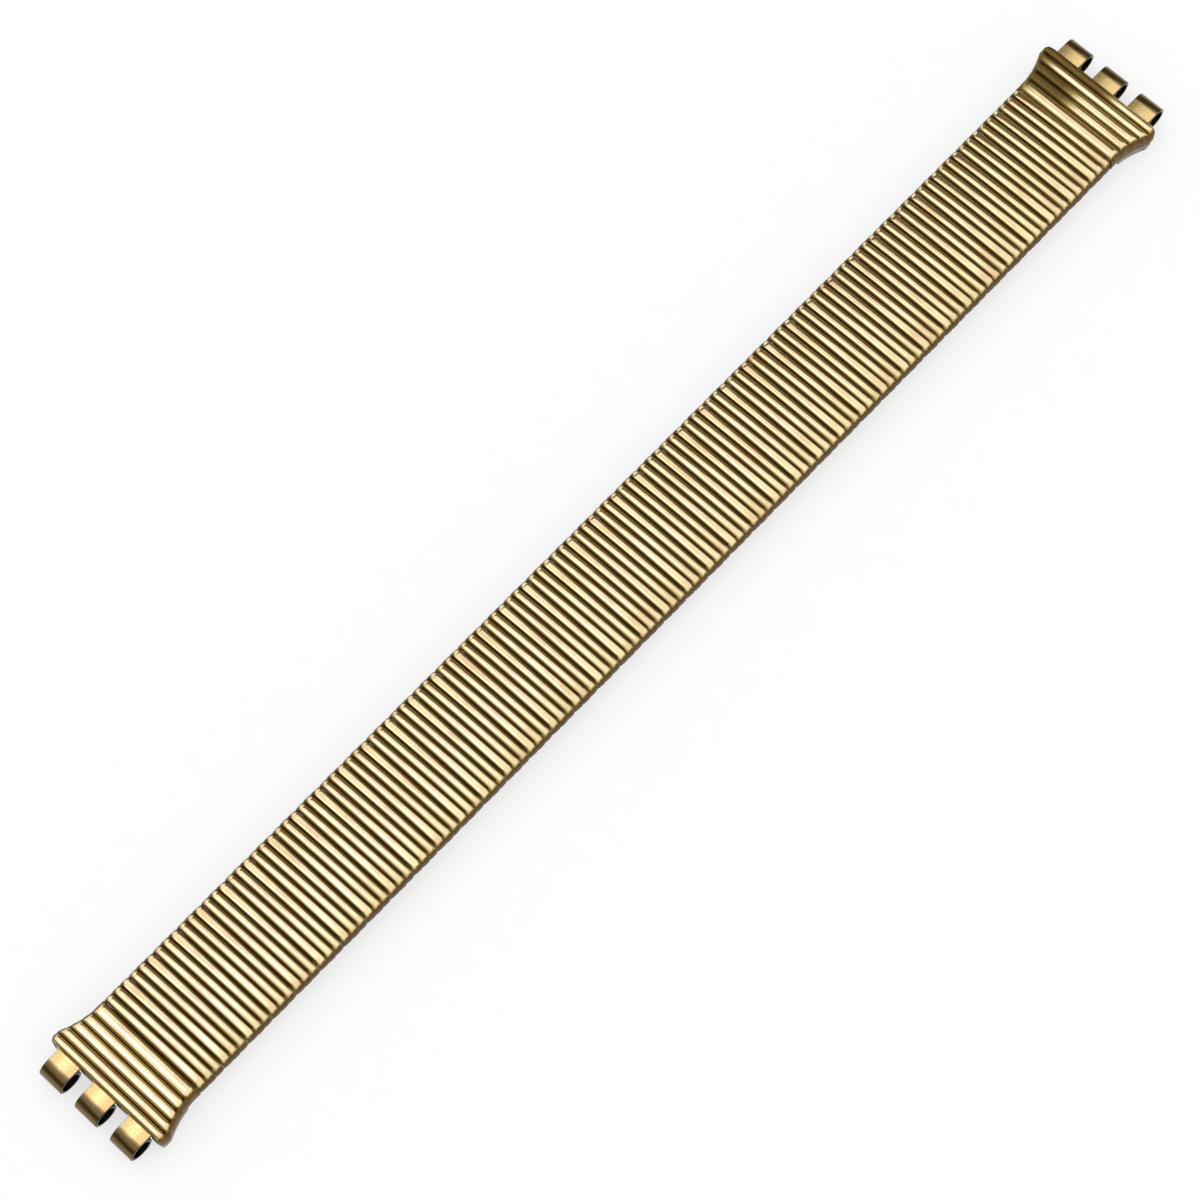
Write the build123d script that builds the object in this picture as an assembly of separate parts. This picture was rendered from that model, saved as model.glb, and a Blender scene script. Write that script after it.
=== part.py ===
from build123d import *

import math
import os

# Driving dimensions of the band, in millimetres. X runs along the band, Z out of the wrist.
shell_count = 41
pitch = 2.6
band_width = 10.4
link_gap = 0.1
row_gap = 0.05

# Links whose lower sleeve is a body of its own, counted from the middle link outwards
curl_steps = (2, 6, 10, 14, 18)

# Flat sleeves, folded from strip
sleeve_wall = 0.15
sleeve_room = 0.8
sleeve_bend_r = 0.07
seam_gap = 0.06

# Staples of round wire that tie the two rows together
wire_d = 0.36
leg_length = 2.4
staple_bend_r = 0.25
staple_play = 0.02
staple_end_gap = 0.03
flange_gap = 0.03

# Bowed leaf springs, one in each sleeve
leaf_thickness = 0.1
leaf_end_gap = 0.12
leaf_side_gap = 0.15
leaf_play = 0.02

# Ridged shells, stamped from thin sheet
shell_wall = 0.12
shell_arch = 0.05
ridge_height = 0.24
ridges_per_shell = 3
shell_crown = 0.12
shell_corner_r = 0.3
shell_seat_gap = 0.02
flange_lift = 0.1
tab_width = 0.6
tab_thickness = 0.12
tab_reach = 0.5

# End covers, flared towards the watch case
cover_length = 4.9
cover_width = 12.0
cover_waist = 0.22
cover_wall = 0.3
cover_edge_r = 0.42
cover_corner_r = 0.5
cover_tip = 1.0
cover_ridge_shares = (0.255, 0.195, 0.19, 0.185, 0.175)
waist_place_share = 0.6

# End trays, the steel floors under the covers
tray_wall = 0.2
tray_inset = 0.15
tray_edge_r = 0.12

# Lug loops, rolled from one sheet at each end
lug_count = 3
lug_width = 2.3
lug_pitch = 3.8
lug_wall = 0.25
lug_bore_r = 0.85
lug_gap = 0.03
lug_plate_gap = 0.1
lug_slot_play = 0.05
lug_seam_degrees = (101, 128)

# One overrun serves every cut
overrun = 0.5

# Places worked out from the sizes above
sleeve_length = pitch - link_gap
sleeve_height = sleeve_room + 2 * sleeve_wall
shell_rise = shell_wall + shell_arch + ridge_height
flange_y = band_width / 2 - shell_rise
bar_y = flange_y - flange_gap - wire_d / 2
sleeve_width = 2 * (bar_y - wire_d / 2 - staple_end_gap)
lower_z = 0
upper_z = sleeve_height + row_gap
leg_lift = sleeve_wall + staple_play + wire_d / 2
leg_low_z = lower_z + leg_lift
leg_high_z = upper_z + sleeve_height - leg_lift
upper_top_z = upper_z + sleeve_height
flange_z = upper_z + flange_lift
tab_top_z = upper_top_z - sleeve_wall - shell_seat_gap
end_link = shell_count + 1
middle_link = (shell_count + 1) // 2
cover_x = (end_link - middle_link) * pitch - sleeve_length / 2
cover_front_x = cover_x + cover_length
cover_under_z = upper_top_z + shell_seat_gap
lug_r = lug_bore_r + lug_wall
lug_x = cover_front_x + lug_gap + lug_r
lug_top_z = cover_under_z - shell_seat_gap
lug_z = lug_top_z - lug_r


def link_x(number):
    """Place along the band of an upper sleeve; 0 and end_link lie under the end covers."""
    return (number - middle_link) * pitch


def solid_of(shape):
    """The one solid of a modelled shape."""
    return shape.solids()[0]


def named(shape, label):
    """A shape's solid with its everyday name."""
    piece = solid_of(shape)
    piece.label = label
    return piece


def along_band(section, width):
    """A section drawn in X and Z, drawn out to both sides across the band."""
    return extrude(Plane.XZ * section, amount=width / 2, both=True)


def sleeve():
    """Flat tube, open at both ends, with its folding seam in the lower wall."""
    outer = RectangleRounded(sleeve_length, sleeve_height, sleeve_bend_r + sleeve_wall)
    inner = RectangleRounded(sleeve_length - 2 * sleeve_wall, sleeve_room, sleeve_bend_r)
    seam = Rectangle(seam_gap, sleeve_height, align=(Align.CENTER, Align.MAX))
    return along_band(Pos(0, sleeve_height / 2) * (outer - inner - seam), sleeve_width)


def leaf_spring():
    """Bowed strip whose middle bears on a sleeve wall and whose ends press on the staple legs."""
    half = sleeve_width / 2 - leaf_end_gap
    rise = sleeve_room - leaf_thickness - wire_d - staple_play - 2 * leaf_play
    under = ThreePointArc((-half, rise), (0, 0), (half, rise))
    over = ThreePointArc((half, rise + leaf_thickness), (0, leaf_thickness), (-half, rise + leaf_thickness))
    ends = [Line(under @ 1, over @ 0), Line(over @ 1, under @ 0)]
    strip = make_face([under, over, *ends])
    width = sleeve_length - 2 * sleeve_wall - 2 * leaf_side_gap
    return extrude(Plane.YZ * strip, amount=width / 2, both=True)


def staple(side):
    """U of round wire: one leg in the lower row, one in the upper, its bar at the band's edge."""
    inner_y, outer_y = side * (bar_y - leg_length), side * bar_y
    route = FilletPolyline(
        (0, inner_y, leg_low_z),
        (0, outer_y, leg_low_z),
        (0, outer_y, leg_high_z),
        (0, inner_y, leg_high_z),
        radius=staple_bend_r,
    )
    return sweep(Plane((0, inner_y, leg_low_z), z_dir=(0, side, 0)) * Circle(wire_d / 2), path=route)


def ridge_lines(points, height):
    """Round ridges between neighbouring points of a profile."""
    ridges = []
    for start, finish in zip(points, points[1:]):
        top = ((start[0] + finish[0]) / 2, (start[1] + finish[1]) / 2 + height)
        ridges.append(ThreePointArc(start, top, finish))
    return ridges


def ridged_section(points, height, floor):
    """Face under a row of ridges, down to a flat floor."""
    left, right = points[0], points[-1]
    base = Polyline(left, (left[0], floor), (right[0], floor), right)
    return make_face([*ridge_lines(points, height), base])


def shell_section():
    """Section of the sheet of one shell along the band, standing on its inner face."""
    step = sleeve_length / ridges_per_shell
    points = []
    for ridge in range(ridges_per_shell + 1):
        x = -sleeve_length / 2 + ridge * step
        lift = shell_arch * (1 - (2 * x / sleeve_length) ** 2)
        points.append((x, shell_wall + lift))
    return ridged_section(points, ridge_height, 0)


def shell():
    """Ridged cap over an upper sleeve, rolled down over both edges, with tabs crimped into the sleeve."""
    corner_y = flange_y - shell_corner_r
    crown_r = (flange_y**2 + shell_crown**2) / (2 * shell_crown)
    corner_z = upper_top_z + shell_seat_gap - shell_corner_r * math.cos(math.asin(corner_y / crown_r))
    crown_z = corner_z - math.sqrt((crown_r - shell_corner_r) ** 2 - corner_y**2)
    lean = math.degrees(math.atan2(corner_y, corner_z - crown_z))
    section = Plane.XZ * shell_section()

    crown_face = Pos(0, 0, crown_z) * Rot(-lean, 0, 0) * Pos(0, 0, crown_r) * section
    cap = revolve(crown_face, Axis((0, 0, crown_z), (1, 0, 0)), 2 * lean)
    edge_face = Pos(0, corner_y, corner_z) * Rot(-90, 0, 0) * Pos(0, 0, shell_corner_r) * section
    edge = revolve(edge_face, Axis((0, corner_y, corner_z), (1, 0, 0)), 90 - lean)
    edge += extrude(edge_face, amount=corner_z - flange_z, dir=(0, 0, -1))
    edge += crimp_tab(flange_y + shell_wall / 2)
    return cap + edge + mirror(edge, about=Plane.XZ)


def crimp_tab(outer_y):
    """Tab from a side wall into the open end of the upper sleeve, between the staple legs."""
    reach = outer_y - (sleeve_width / 2 - tab_reach)
    return Pos(0, outer_y - reach / 2, tab_top_z - tab_thickness / 2) * Box(tab_width, reach, tab_thickness)


def flare(inset, start_x, finish_x, corner_r):
    """Plan of an end piece: straight front, concave sides that spread from the band's width."""
    waist_y = band_width / 2 - inset
    wide_y = cover_width / 2 - inset
    spread = cover_length - cover_tip
    low = (cover_x, waist_y)
    middle = (cover_x + waist_place_share * spread, waist_y + cover_waist)
    high = (cover_x + spread, wide_y)
    side = [ThreePointArc(low, middle, high), Line(high, (finish_x, wide_y))]
    other = [mirror(line, about=Plane.XZ) for line in side]
    front = Line((finish_x, wide_y), (finish_x, -wide_y))
    back = Line(low, (low[0], -waist_y))
    plan = make_face([*side, *other, front, back])
    plan = fillet(plan.vertices().group_by(Axis.X)[-1], corner_r)
    keep = Rectangle(finish_x - start_x, 2 * cover_width, align=(Align.MIN, Align.CENTER))
    return plan & Pos(start_x, 0) * keep


def cover_section():
    """Ridged section of an end cover along the band; its widest ridge lies next to the shells."""
    floor_z = cover_under_z + shell_wall
    x, points = cover_x, [(cover_x, floor_z)]
    for share in cover_ridge_shares:
        x += share * cover_length
        points.append((x, floor_z))
    return ridged_section(points, shell_arch + ridge_height, flange_z)


def lug_places():
    """Places of the lug loops across the band."""
    return [(number - (lug_count - 1) / 2) * lug_pitch for number in range(lug_count)]


def end_cover():
    """Flared and ridged cover, open towards the band, with slots in its front for the lugs."""
    top_z = cover_under_z + shell_rise
    plan = flare(0, cover_x, cover_front_x, cover_corner_r)
    pillow = Pos(0, 0, flange_z) * extrude(plan, amount=top_z - flange_z)
    rim = pillow.edges().group_by(Axis.Z)[-1].filter_by_position(Axis.X, cover_x + link_gap, cover_front_x + link_gap)
    pillow = fillet(rim, cover_edge_r)
    cover = along_band(cover_section(), 2 * cover_width) & pillow

    inside = flare(cover_wall, cover_x, cover_front_x - cover_wall, cover_corner_r - cover_wall)
    inside += Pos(cover_x, 0) * Rectangle(overrun, 2 * flange_y)
    cover -= Pos(0, 0, flange_z - overrun) * extrude(inside, amount=cover_under_z - flange_z + overrun)
    slot = Box(2 * cover_wall + overrun, lug_width + 2 * lug_slot_play, cover_under_z - flange_z + overrun)
    for y in lug_places():
        cover -= Pos(cover_front_x, y, (cover_under_z + flange_z - overrun) / 2) * slot
    tab = Pos(link_x(end_link), 0, 0) * crimp_tab(band_width / 2 - cover_wall / 2)
    return cover + tab + mirror(tab, about=Plane.XZ)


def end_tray():
    """Open steel tray under an end cover, level with the lower row."""
    start_x = link_x(end_link) + link_gap / 2
    plan = flare(tray_inset, start_x, cover_front_x - tray_inset, cover_corner_r - tray_inset)
    tray = extrude(plan, amount=sleeve_height)
    tray = fillet(tray.edges().group_by(Axis.Z)[0], tray_edge_r)
    inset = tray_inset + tray_wall
    inside = flare(inset, start_x + tray_wall, cover_front_x - inset, cover_corner_r - inset)
    return tray - Pos(0, 0, tray_wall) * extrude(inside, amount=sleeve_height)


def lug_section():
    """Section of a lug: a sheet that runs out level, then rolls round into a loop for a spring bar."""
    start, finish = (math.radians(angle) for angle in lug_seam_degrees)
    far = lug_r + overrun
    seam = Polygon(
        (0, 0),
        (far * math.cos(start), far * math.sin(start)),
        (far * math.cos(finish), far * math.sin(finish)),
        align=None,
    )
    loop = Circle(lug_r) - Circle(lug_bore_r) - seam
    run = lug_x - cover_front_x + 2 * cover_wall
    tongue = Pos(-run / 2, lug_r - lug_wall / 2) * Rectangle(run, lug_wall)
    return Pos(lug_x, lug_z) * (loop + tongue)


def lug_frame():
    """Folded sheet with three rolled lugs, standing on the end tray under the cover."""
    back_x = link_x(end_link) + sleeve_length / 2 + lug_plate_gap
    front_x = cover_front_x - 2 * cover_wall
    half_y = lug_places()[-1] + lug_width / 2
    length = front_x - back_x
    foot_z = tray_wall + staple_play
    plate = Box(length, 2 * half_y, lug_top_z - foot_z, align=(Align.MIN, Align.CENTER, Align.MAX))
    hollow = Box(
        length,
        2 * (half_y - lug_wall),
        lug_top_z - foot_z,
        align=(Align.MIN, Align.CENTER, Align.MAX),
    )
    frame = Pos(back_x, 0, lug_top_z) * plate - Pos(back_x, 0, lug_top_z - lug_wall) * hollow
    for y in lug_places():
        frame += Pos(0, y, 0) * along_band(lug_section(), lug_width)
    return frame


sleeve_shape = solid_of(sleeve())
leaf_shape = solid_of(leaf_spring())
shell_shape = solid_of(shell())
staple_shapes = {side: solid_of(staple(side)) for side in (-1, 1)}


def lower_sleeve(x):
    """Sleeve and leaf spring of the lower row; the spring's ends point down at the legs."""
    leaf_z = lower_z + sleeve_height - sleeve_wall - leaf_play
    return [
        named(Pos(x, 0, lower_z) * sleeve_shape, "lower_sleeve"),
        named(Pos(x, 0, leaf_z) * Rot(180, 0, 0) * leaf_shape, "lower_leaf_spring"),
    ]


def upper_sleeve(x):
    """Sleeve and leaf spring of the upper row; the spring's ends point up at the legs."""
    leaf_z = upper_z + sleeve_wall + leaf_play
    return [
        named(Pos(x, 0, upper_z) * sleeve_shape, "upper_sleeve"),
        named(Pos(x, 0, leaf_z) * leaf_shape, "upper_leaf_spring"),
    ]


def staple_pair(x):
    """The two staples, one at each edge, that join an upper sleeve to a lower one."""
    return [named(Pos(x, 0, 0) * shape, "staple") for shape in staple_shapes.values()]


def link(number, sides):
    """One upper sleeve under its ridged shell, with the lower sleeves that it carries."""
    x = link_x(number)
    pieces = [named(Pos(x, 0, 0) * shell_shape, "ridged_shell"), *upper_sleeve(x)]
    for side in sides:
        pieces += lower_sleeve(x + side * pitch / 2)
        pieces += staple_pair(x + side * pitch / 4)
    return pieces


def save(name, pieces):
    """Write one node of the band as its own file."""
    group = pieces[0] if len(pieces) == 1 else Compound(label=name, children=pieces)
    export_step(group, f"parts/{name}.step")


def main():
    """Build the band from its middle link outwards, then its two ends."""
    os.makedirs("parts", exist_ok=True)
    save(f"link_{middle_link:02d}", link(middle_link, (-1, 1)))
    ends = {
        "cover": [named(end_cover(), "end_cover")],
        "tray": [named(end_tray(), "end_tray"), *upper_sleeve(link_x(end_link))],
        "lugs": [named(lug_frame(), "lug_frame")],
    }
    for side, half in ((-1, "left"), (1, "right")):
        tilting = []
        for step in range(middle_link):
            number = middle_link + side * step
            curls = step in curl_steps
            if step:
                save(f"link_{number:02d}", link(number, () if curls else (side,)))
            lower_x = link_x(number) + side * pitch / 2
            if curls:
                save(f"lower_link_{number:02d}", lower_sleeve(lower_x))
                tilting += staple_pair(lower_x - side * pitch / 4)
            tilting += staple_pair(lower_x + side * pitch / 4)
        save(f"tilting_staples_{half}", tilting)
        for name, pieces in ends.items():
            placed = pieces if side > 0 else [named(mirror(p, about=Plane.YZ), p.label) for p in pieces]
            save(f"end_{name}_{half}", placed)


main()
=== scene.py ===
"""An expansion watch band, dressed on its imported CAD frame.

Two staggered rows of folded steel sleeves, tied at both edges by wire staples,
carry ridged gold shells. A flared cover, a steel tray and three rolled lugs close
each end. X runs along the band, Y across it and Z out of the wrist. The near edge
is the one at negative Y, which the camera is closer to.
"""

import logging
import math
from collections.abc import Callable, Iterator
from contextlib import contextmanager
from dataclasses import dataclass, field
from enum import Enum

import bmesh
import bpy
from mathutils import Matrix, Vector


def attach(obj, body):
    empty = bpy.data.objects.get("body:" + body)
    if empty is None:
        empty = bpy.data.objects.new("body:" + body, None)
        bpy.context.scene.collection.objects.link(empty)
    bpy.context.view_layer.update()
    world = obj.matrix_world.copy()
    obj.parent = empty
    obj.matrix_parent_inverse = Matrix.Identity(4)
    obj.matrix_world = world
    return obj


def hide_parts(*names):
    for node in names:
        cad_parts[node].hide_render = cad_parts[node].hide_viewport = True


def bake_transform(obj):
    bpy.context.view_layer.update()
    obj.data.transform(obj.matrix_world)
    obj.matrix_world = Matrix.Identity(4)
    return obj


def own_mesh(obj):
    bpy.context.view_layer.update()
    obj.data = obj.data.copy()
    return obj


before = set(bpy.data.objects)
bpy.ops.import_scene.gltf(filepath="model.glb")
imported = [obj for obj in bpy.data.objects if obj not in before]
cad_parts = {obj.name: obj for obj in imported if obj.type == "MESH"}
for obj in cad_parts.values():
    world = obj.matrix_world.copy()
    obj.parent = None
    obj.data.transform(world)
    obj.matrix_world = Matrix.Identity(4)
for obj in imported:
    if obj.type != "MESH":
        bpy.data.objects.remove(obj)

LOG = logging.getLogger("watch_band")
MM = 0.001
TINY = 1e-3
SHADE_ATTRIBUTE = "groove"  # the point attribute that holds a piece's mask of tarnish and painted shade
FILM_ROUGHNESS = 0.5
FINE_SHARE = 0.55  # how much the finer octaves of a grain pattern count
FACTOR, COLOUR_A, COLOUR_B, BLENDED = 0, 6, 7, 2  # sockets of a Mix node for colours
X_AXIS, Y_AXIS, Z_AXIS = Vector((1, 0, 0)), Vector((0, 1, 0)), Vector((0, 0, 1))

Piece = bpy.types.Object
Tree = bpy.types.NodeTree
Socket = bpy.types.NodeSocket
Test = Callable[[Vector], bool]
Measure = Callable[[Vector], float]


class Half(Enum):
    """The two halves of the band, with the sign of their X."""

    LEFT = -1
    RIGHT = 1


class Part(Enum):
    """What an edit-mode selection is made of."""

    POINTS = "VERT"
    EDGES = "EDGE"
    FACES = "FACE"


class Slot(Enum):
    """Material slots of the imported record."""

    SHELL = "gold_shell"
    LUG = "gold_lug"
    STEEL = "bare_steel"
    WIRE = "staple_wire"


@dataclass(frozen=True)
class BandSizes:
    """Sizes that several sub-assemblies share, in metres, as the part's source has them."""

    shell_count: int = 41
    curl_steps: tuple[int, ...] = (2, 6, 10, 14, 18)  # counted from the middle link
    pitch: float = 2.6 * MM
    band_width: float = 10.4 * MM
    link_gap: float = 0.1 * MM
    sleeve_width: float = 8.74 * MM
    sleeve_height: float = 1.1 * MM
    sleeve_wall: float = 0.15 * MM
    upper_z: float = 1.15 * MM
    leg_low_z: float = 0.35 * MM
    leg_high_z: float = 1.90 * MM
    bar_y: float = 4.58 * MM
    flange_y: float = 4.79 * MM
    flange_z: float = 1.25 * MM
    cover_under_z: float = 2.27 * MM
    end_x: float = 53.35 * MM
    front_x: float = 58.25 * MM
    lug_y: tuple[float, ...] = (-3.8 * MM, 0.0, 3.8 * MM)

    @property
    def middle(self) -> int:
        """Number of the middle link."""
        return (self.shell_count + 1) // 2

    @property
    def sleeve_length(self) -> float:
        """Size of a sleeve along the band."""
        return self.pitch - self.link_gap

    def link_x(self, number: int) -> float:
        """Place of an upper sleeve along the band."""
        return (number - self.middle) * self.pitch


# ---------------------------------------------------------------- modelling


def only(*pieces: Piece) -> None:
    """Selects these pieces and nothing else, the first one active.

    Args:
        pieces: What to select.
    """
    bpy.ops.object.select_all(action="DESELECT")
    for piece in pieces:
        piece.select_set(True)
    bpy.context.view_layer.objects.active = pieces[0] if pieces else None


@contextmanager
def editing(piece: Piece, part: Part = Part.EDGES) -> Iterator[None]:
    """Opens a piece in edit mode with all of it selected, and closes it again.

    Args:
        piece: The mesh object.
        part: What selections are made of.
    """
    only(piece)
    bpy.ops.object.mode_set(mode="EDIT")
    bpy.ops.mesh.select_mode(type=part.value)
    bpy.ops.mesh.select_all(action="SELECT")
    yield
    bpy.ops.object.mode_set(mode="OBJECT")


def pick(
    piece: Piece, part: Part, test: Test, fits: Callable[[object], bool] = lambda item: True
) -> None:
    """Selects edges or faces by place in edit mode.

    Args:
        piece: The mesh object in edit mode.
        part: Edges or faces.
        test: Takes a point; every point of a chosen edge or face passes it.
        fits: Takes the edge or face, and says whether it counts.
    """
    mesh = bmesh.from_edit_mesh(piece.data)
    bpy.ops.mesh.select_all(action="DESELECT")
    passes = {point.index: test(point.co) for point in mesh.verts}
    for item in mesh.edges if part is Part.EDGES else mesh.faces:
        if all(passes[point.index] for point in item.verts) and fits(item):
            item.select_set(True)
    mesh.select_flush_mode()
    bmesh.update_edit_mesh(piece.data)


def cut_faces(piece: Piece, test: Test) -> None:
    """Deletes the faces at a place, in edit mode."""
    pick(piece, Part.FACES, test)
    bpy.ops.mesh.delete(type="FACE")


def near(a: float, b: float, slack: float = 0.004 * MM) -> bool:
    """Whether two coordinates are the same place."""
    return abs(a - b) < slack


def anywhere(_: Vector) -> bool:
    """Lets every point pass."""
    return True


def is_rim(edge: bmesh.types.BMEdge) -> bool:
    """Whether an edge borders open air."""
    return len(edge.link_faces) < 2


def is_fold(edge: bmesh.types.BMEdge) -> bool:
    """Whether two faces meet at an edge as at the corner of a box."""
    return edge.calc_face_angle(0.0) > math.radians(45)


def clamp(value: float, low: float = 0.0) -> float:
    """Keeps a value between a lower limit and 1."""
    return max(low, min(1.0, value))


def add_between(
    name: str, low: Vector, high: Vector, faces: tuple[int, int] | None = None
) -> Piece:
    """Adds a box or a level grid between two corners.

    Args:
        name: The piece's name.
        low: Lowest corner.
        high: Highest corner, for a grid at the same height.
        faces: A grid's faces along X and Y; none for a box.

    Returns:
        The new object, at the origin.
    """
    only()
    if faces:
        bpy.ops.mesh.primitive_grid_add(x_subdivisions=faces[0], y_subdivisions=faces[1], size=1)
    else:
        bpy.ops.mesh.primitive_cube_add(size=1)
    piece = bpy.context.object
    piece.name = piece.data.name = name
    size = high - low
    with editing(piece):
        bpy.ops.transform.resize(value=(size.x, size.y, size.z or 1), center_override=(0, 0, 0))
        bpy.ops.transform.translate(value=(low + high) / 2)
    return piece


def extrude(value: Vector) -> None:
    """Extrudes the edit-mode selection by a vector."""
    bpy.ops.mesh.extrude_region_move(TRANSFORM_OT_translate={"value": value})


def spin(steps: int, degrees: float, center: Vector, axis: Vector) -> None:
    """Spins the edit-mode selection round an axis through a centre."""
    angle = math.radians(degrees)
    bpy.ops.mesh.spin(steps=steps, dupli=False, angle=angle, center=center, axis=axis)


def settle(piece: Piece, inner: Vector | None = None, merge: float = 0.0005 * MM) -> None:
    """Merges doubles and turns every face outwards.

    Args:
        piece: The mesh object, an open sheet or a closed form.
        inner: For an open sheet, a point on its inner side.
        merge: Points closer than this are one point.
    """
    with editing(piece):
        bpy.ops.mesh.remove_doubles(threshold=merge)
        bpy.ops.mesh.normals_make_consistent(inside=False)
    if inner and sum((f.center - inner).dot(f.normal) * f.area for f in piece.data.polygons) < 0:
        with editing(piece):
            bpy.ops.mesh.flip_normals()


def apply(piece: Piece, kind: str, **settings: object) -> None:
    """Adds a modifier and applies it.

    Args:
        piece: The mesh object.
        kind: The modifier's type.
        settings: Its settings.
    """
    only(piece)
    modifier = piece.modifiers.new(kind.lower(), kind)
    for key, value in settings.items():
        setattr(modifier, key, value)
    bpy.ops.object.modifier_apply(modifier=modifier.name)


def raise_by(piece: Piece, height: Measure, direction: str = "Z") -> None:
    """Lifts a surface with a Displace modifier whose vertex weights hold the relief.

    Args:
        piece: The mesh object.
        height: Takes a point and returns its lift in metres.
        direction: Axis of the lift, or NORMAL.
    """
    lifts = [height(point.co) for point in piece.data.vertices]
    most = max(max(lifts), 1e-9)
    group = piece.vertex_groups.new(name="relief")
    for index, lift in enumerate(lifts):
        group.add([index], max(0.0, lift / most), "REPLACE")
    apply(
        piece, "DISPLACE", direction=direction, strength=most, mid_level=0.0, vertex_group="relief"
    )
    piece.vertex_groups.clear()


def smooth(piece: Piece, degrees: float = 35.0) -> None:
    """Shades a piece smooth, with its sharper edges kept."""
    only(piece)
    bpy.ops.object.shade_smooth_by_angle(angle=math.radians(degrees))


def join(*pieces: Piece) -> Piece:
    """Joins pieces of one sheet into the first one.

    Args:
        pieces: What to join.

    Returns:
        The joined piece.
    """
    only(*pieces)
    bpy.ops.object.join()
    return bpy.context.object


def mark(piece: Piece, wear: Measure) -> None:
    """Writes a mask of tarnish and painted shade, from 0 to 1, on a piece's points."""
    layer = piece.data.attributes.get(SHADE_ATTRIBUTE) or piece.data.attributes.new(SHADE_ATTRIBUTE, "FLOAT", "POINT")
    layer.data.foreach_set("value", [wear(point.co) for point in piece.data.vertices])


def copy_to(pattern: Piece, name: str, move: Matrix) -> Piece:
    """Copies a finished piece, with a mesh of its own.

    Args:
        pattern: The piece that was modelled once.
        name: The copy's name.
        move: Where the copy's mesh goes.

    Returns:
        The copy, at the origin.
    """
    piece = pattern.copy()
    piece.data = pattern.data.copy()
    piece.name = piece.data.name = name
    bpy.context.scene.collection.objects.link(piece)
    piece.data.transform(move)
    return piece


def off_crest(share: float) -> float:
    """How far from a ridge's crest a place across it is, 1 at its grooves."""
    return min(1.0, abs(2 * share - 1))


def ridge_section(share: float, flat: float, round_off: float, square: int) -> float:
    """Section of one ridge, between a round one and one with a flat top.

    Args:
        share: Place across the ridge, 0 to 1.
        flat: How much of the flat section it has, 0 to 1.
        round_off: Height of the round section's arc over half its width.
        square: Power that squares the flat section's shoulders.

    Returns:
        The height, from 0 at its grooves to 1 at its crest.
    """
    x = off_crest(share)
    radius = (1 + round_off**2) / (2 * round_off)
    hump = (math.sqrt(radius**2 - x**2) - (radius - round_off)) / round_off
    return (1 - flat) * hump + flat * (1 - x**square)


def tip_outline(y: float, tip: float, reach: float = 0.42 * MM) -> float:
    """Width of a ridge's painted highlight near its end: round at the near edge, else pointed.

    Args:
        y: The place across the band; the far edge is at positive y.
        tip: How far from the middle the painted highlight ends.
        reach: Over what length it narrows.

    Returns:
        The share of the full width, from 0 to 1.
    """
    past = clamp((abs(y) - tip + reach) / reach)
    return 1 - past if y > 0 else math.sqrt(1 - past**2)


# ---------------------------------------------------------------- materials


def linear(code: str) -> tuple[float, float, float, float]:
    """Turns an sRGB hex colour to linear values.

    Args:
        code: Six hex digits.

    Returns:
        Linear red, green, blue and an alpha of 1.
    """
    channels = [int(code[i : i + 2], 16) / 255 for i in (0, 2, 4)]
    r, g, b = (c / 12.92 if c <= 0.04045 else ((c + 0.055) / 1.055) ** 2.4 for c in channels)
    return (r, g, b, 1.0)


def add_node(
    tree: Tree, kind: str, inputs: dict[str | int, object] | None = None, **settings: object
) -> bpy.types.NodeOutputs:
    """Adds one shader node with its settings and links.

    Args:
        tree: Where it goes.
        kind: The node's type, without its usual start.
        inputs: Sockets that feed its inputs, or their constants.
        settings: Its own properties.

    Returns:
        Its output sockets.
    """
    node = tree.nodes.new(f"ShaderNode{kind}")
    for key, value in settings.items():
        setattr(node, key, value)
    for key, value in (inputs or {}).items():
        if isinstance(value, Socket):
            tree.links.new(value, node.inputs[key])
        else:
            node.inputs[key].default_value = value
    return node.outputs


def grains(tree: Tree, size: tuple[float, float, float], detail: float = 2.0) -> Socket:
    """Makes a soft random pattern whose grains have a real size.

    Args:
        tree: Where its nodes go.
        size: A grain's size along X, Y and Z, in metres.
        detail: Octaves.

    Returns:
        The pattern's value.
    """
    place = add_node(tree, "TexCoord")["Object"]
    scale = tuple(1 / length for length in size)
    place = add_node(tree, "Mapping", {"Vector": place, "Scale": scale})[0]
    inputs = {"Vector": place, "Scale": 1.0, "Detail": detail, "Roughness": FINE_SHARE}
    return add_node(tree, "TexNoise", inputs)[0]


def tint(
    tree: Tree, base: Socket | str, colour: str, by: Socket, span: tuple[float, float],
    most: float = 1.0,
) -> Socket:
    """Tints a colour where a pattern is strong.

    Args:
        tree: Where its nodes go.
        base: The colour, or its hex code.
        colour: The tint's hex code.
        by: The pattern.
        span: The pattern's values where the tint starts and where it is full.
        most: The full tint's share.

    Returns:
        The tinted colour.
    """
    inputs = {"Value": by, "From Min": span[0], "From Max": span[1], "To Max": most}
    inputs = {FACTOR: add_node(tree, "MapRange", inputs)[0], COLOUR_B: linear(colour)}
    inputs[COLOUR_A] = linear(base) if isinstance(base, str) else base
    return add_node(tree, "Mix", inputs, data_type="RGBA")[BLENDED]


def start_material(name: str, roughness: float, **values: object) -> bpy.types.Material:
    """Makes a material with a plain Principled shader.

    Args:
        name: The material's name.
        roughness: Its plain roughness.
        values: Its shader's other inputs, with _ for a space.

    Returns:
        The material.
    """
    material = bpy.data.materials.new(name)
    material.use_nodes = True
    inputs = material.node_tree.nodes["Principled BSDF"].inputs
    inputs["Roughness"].default_value = roughness
    for key, value in values.items():
        inputs[key.replace("_", " ")].default_value = value
    return material


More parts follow.
